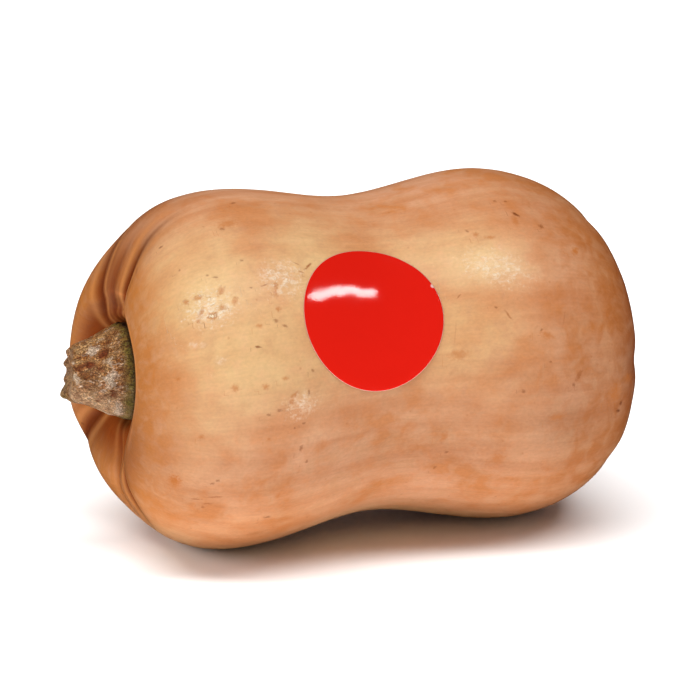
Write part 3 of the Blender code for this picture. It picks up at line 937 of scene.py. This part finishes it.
# The squiggle is dark, and fainter on the highlighted crests and on the pale side. Specks are darker, and the
# foot is darkened with painted shade in the gap at the pit.
dark = node(tree, "Mix", 2, {0: 0.76, 6: bark, 7: linear("#4a240c")}, data_type="RGBA")
plain = node(tree, "Math", ins={0: crest, 1: 0.35}, operation="MULTIPLY")
plain_side = node(tree, "Math", ins={0: bark_map["low"], 1: 0.45}, operation="MULTIPLY")
plain = node(tree, "Math", ins={0: plain, 1: plain_side}, operation="MAXIMUM")
not_plain = node(tree, "Math", ins={0: 1.0, 1: plain}, operation="SUBTRACT")
line = node(tree, "Math", ins={0: 1.0, 1: noise["squiggle"]}, operation="SUBTRACT")
line = node(tree, "Math", ins={0: not_plain, 1: line}, operation="MULTIPLY")
bark = node(tree, "Mix", 2, {0: line, 6: bark, 7: dark}, data_type="RGBA")
speck = node(tree, "Math", ins={0: 1.0, 1: noise["specks"]}, operation="SUBTRACT")
speck = node(tree, "Math", ins={0: speck, 1: 0.35}, operation="MULTIPLY")
foot = node(tree, "MapRange", ins={0: bark_map["along"], 1: 5.85, 2: 6.4})
for share, colour in ((speck, "#4a2410"), (foot, "#2a1508")):
    bark = node(tree, "Mix", 2, {0: share, 6: bark, 7: linear(colour)}, data_type="RGBA")
tree.links.new(bark, shader.inputs["Base Color"])
grit = node(tree, "Math", ins={0: noise["squiggle"], 1: 0.22}, operation="MULTIPLY")
fine_grit = node(tree, "Math", ins={0: noise["specks"], 1: 0.10}, operation="MULTIPLY")
grit = node(tree, "Math", ins={0: grit, 1: fine_grit}, operation="ADD")
relief = node(tree, "Bump", ins={"Height": grit, "Distance": 0.001, "Strength": 1.0})
tree.links.new(relief, shader.inputs["Normal"])
shine = node(tree, "MapRange", ins={0: crest, 3: 0.50, 4: 0.26})
tree.links.new(shine, shader.inputs["Roughness"])
stem_mesh.materials.append(corky_bark)
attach(stem, "root")
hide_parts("stem")

# Label: a round sticker of coated paper, pressed on to the waist and bent with the skin under it. Its lower
# edge has come a little away. It is plain red and glossy, with no lettering, and shows its white paper edge.
LABEL_RADIUS = 0.0231
LABEL_PAST_CREST = 0.0888
LABEL_ANGLE = 28.0
LABEL_GAP = 0.00012
LABEL_THICKNESS = 0.00018
LIFTED = (300.0, 42.0, 0.0008)  # where its edge stands off, half width in degrees, and how far
LIFTED_FROM = 0.7  # share of the radius where the lifting starts
NICK = (21.5, 8.0, 0.5)  # worn spot at the edge: mm along and round the skin, and share from face to back
PAPER_EDGE = (0.4965, 0.4995)  # share from face to back between which the red gives way to paper
LABEL_SEGMENTS = 200
LABEL_RINGS = 121


def label_surface(share, angle):
    """A disc laid over the skin by length and angle, from its face's middle round its edge to its back's
    middle, lifted by its gap, its thickness on the face side, and a rise exp(-turn^2) at part of its edge."""
    out = LABEL_RADIUS * np.minimum(share, 1.0 - share) * 2.0
    turn = np.radians(angle)
    knots = np.interp(LABEL_PAST_CREST + out * np.cos(turn), FINE_LENGTH, FINE_KNOTS)
    radius = spline(FRUIT_PROFILE, knots)[..., 1]
    round_angle = LABEL_ANGLE + np.degrees(out * np.sin(turn) / radius)
    face = np.clip(0.5 + (0.5 - share) * LABEL_RINGS / 2.0, 0.0, 1.0)
    lift = LABEL_GAP + LABEL_THICKNESS * face + unevenness(past_crest(knots), round_angle)
    centre, half_width, height = LIFTED
    rise = np.exp(-((turn_between(angle, centre) / half_width) ** 2))
    lift += height * rise * smooth((out / LABEL_RADIUS - LIFTED_FROM) / (1.0 - LIFTED_FROM))
    return fruit_surface(knots, round_angle, lift)


label_share = np.linspace(0.0, 1.0, LABEL_RINGS)
label_angle = np.arange(LABEL_SEGMENTS) * 360.0 / LABEL_SEGMENTS
label_share, label_angle = np.meshgrid(label_share, label_angle, indexing="ij")
label_points = on_the_floor(label_surface(label_share, label_angle))
label_out = LABEL_RADIUS * 1000.0 * np.minimum(label_share, 1.0 - label_share) * 2.0
label_turn = np.radians(label_angle)
label_disc = np.stack([label_out * np.cos(label_turn), label_out * np.sin(label_turn), label_share], axis=-1)
label_mesh = closed_mesh("round_label", label_points, {"from_face": label_share, "disc": label_disc})
label = placed("round_label", label_mesh)

# Coated paper: a clear gloss over a flat printed red, white at its cut edge and on its back.
coated_paper = bpy.data.materials.new("coated_paper")
coated_paper.use_nodes = True
tree = coated_paper.node_tree
shader = tree.nodes["Principled BSDF"]
from_face = node(tree, "Attribute", "Fac", attribute_name="from_face")
disc = node(tree, "Attribute", "Vector", attribute_name="disc")
edge = node(tree, "MapRange", ins={0: from_face, 1: PAPER_EDGE[0], 2: PAPER_EDGE[1]})
nick = node(tree, "VectorMath", "Value", {0: disc, 1: NICK}, operation="DISTANCE")
nick = node(tree, "MapRange", ins={0: nick, 1: 0.85, 2: 0.35})
bare = node(tree, "Math", ins={0: edge, 1: nick}, operation="MAXIMUM")
paper = node(tree, "Mix", 2, {0: bare, 6: linear("#e61f13"), 7: linear("#f6d2c8")}, data_type="RGBA")
tree.links.new(paper, shader.inputs["Base Color"])
weave_row = ("weave", (1.3, 1.3, 1.3), 2.0, 0.0, (0.3, 0.7), (0.0, 1.0))
weave = noise_patterns(tree, disc, (weave_row,))["weave"]
relief = node(tree, "Bump", ins={"Height": weave, "Distance": 0.000004, "Strength": 1.0})
tree.links.new(relief, shader.inputs["Normal"])
shader.inputs["Roughness"].default_value = 0.08
label_mesh.materials.append(coated_paper)
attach(label, "root")
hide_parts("label")

# Floor: a wide white studio table that fills the view. The squash's gloss doesn't mirror it.
FLOOR_HALF = 3.0
floor_mesh = bpy.data.meshes.new("white_table")
floor_corners = [(x * FLOOR_HALF, y * FLOOR_HALF, 0.0) for x, y in ((-1, -1), (1, -1), (1, 1), (-1, 1))]
floor_mesh.from_pydata(floor_corners, [], [(0, 1, 2, 3)])
floor = placed("white_table", floor_mesh)
white_table = bpy.data.materials.new("white_table")
white_table.use_nodes = True
shader = white_table.node_tree.nodes["Principled BSDF"]
shader.inputs["Base Color"].default_value = linear("#f4f4f4")
shader.inputs["Roughness"].default_value = 0.9
shader.inputs["Specular IOR Level"].default_value = 0.1
floor_mesh.materials.append(white_table)
floor.visible_glossy = False

# Light: soft boxes above, in front and to the stem's side, and a faint white room. The table has two lights
# of its own. The label mirrors one small box, and the rind and the stem a long one over the front.
room = bpy.data.worlds.new("white_room")
bpy.context.scene.world = room
room.use_nodes = True
room.node_tree.nodes["Background"].inputs["Color"].default_value = linear("#ffffff")
room.node_tree.nodes["Background"].inputs["Strength"].default_value = 0.20
room.cycles_visibility.glossy = False
lit = {}
for group, members in (
    ("table", [floor]),
    ("squash", [fruit, stem, label]),
    ("rind", [fruit, stem]),
    ("paper", [label]),
):
    lit[group] = bpy.data.collections.new("lit_" + group)
    for member in members:
        lit[group].objects.link(member)
# Each row: name, what it lights, whether gloss mirrors it, the way to it, how far, its size in m, its watts.
for name, group, glossy, way, far, size, power in (
    ("label_box", "paper", True, (0.585, -0.37, 0.72), 1.2, (0.21, 0.08), 1.0),
    ("rind_box", "rind", True, (-0.05, -0.40, 0.90), 1.3, (1.0, 0.14), 4.7),
    ("top_box", "squash", False, (0.0, 0.05, 1.0), 1.3, (1.0, 0.8), 11.0),
    ("front_box", "squash", False, (-0.15, -0.97, 0.12), 1.5, (1.3, 0.3), 2.7),
    ("stem_side_box", "squash", False, (-0.9, -0.25, 0.35), 1.3, (0.8, 0.6), 3.0),
    ("table_box", "table", False, (-0.08, -0.17, 1.0), 3.0, (5.0, 1.2), 208.0),
    ("table_side_box", "table", False, (-1.0, 0.0, 0.45), 2.6, (2.0, 1.2), 34.0),
):
    lamp = placed(name, bpy.data.lights.new(name, "AREA"))
    lamp.data.shape = "RECTANGLE"
    lamp.data.size, lamp.data.size_y = size
    lamp.data.energy = power
    lamp.location = AIM + Vector(way).normalized() * far
    lamp.rotation_mode = "QUATERNION"
    lamp.rotation_quaternion = (-Vector(way)).to_track_quat("-Z", "Y")
    lamp.visible_glossy = glossy
    lamp.light_linking.receiver_collection = lit[group]

bpy.context.scene.view_settings.view_transform = "Standard"
